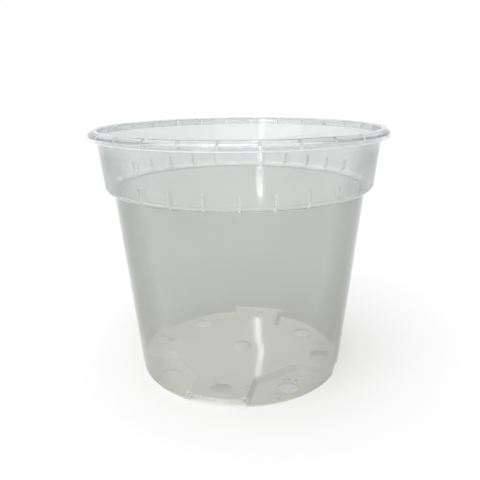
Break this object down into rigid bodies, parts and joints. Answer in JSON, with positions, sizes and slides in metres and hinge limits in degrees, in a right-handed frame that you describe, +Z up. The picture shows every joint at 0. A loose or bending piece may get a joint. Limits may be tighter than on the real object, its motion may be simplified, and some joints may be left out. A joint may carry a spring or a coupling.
{
  "type": "orchid pot",
  "caption": "Clear tapered plastic orchid pot with a stepped collar, ribbed lip and raised cross floor over drain channels, so roots get light and water runs off.",
  "frame": {"origin": "on the pot's axis, in the plane that its feet stand on", "axes": "+Z up out of the mouth, X and Y along the two drain channels under the floor, -Y towards the viewer"},
  "size_m": [0.15, 0.15, 0.129],
  "materials": {
    "clear_polypropylene": "clear, slightly hazy moulded polypropylene with a smooth gloss"
  },
  "bodies": {
    "root": {"rim_lip": "clear_polypropylene", "rim_ribs": "clear_polypropylene", "collar_wall": "clear_polypropylene", "step_ledge": "clear_polypropylene", "step_ribs": "clear_polypropylene", "body_wall": "clear_polypropylene", "floor_cross": "clear_polypropylene", "gate_dome": "clear_polypropylene", "foot_back_right": "clear_polypropylene", "foot_back_left": "clear_polypropylene", "foot_front_left": "clear_polypropylene", "foot_front_right": "clear_polypropylene"}
  },
  "joints": []
}
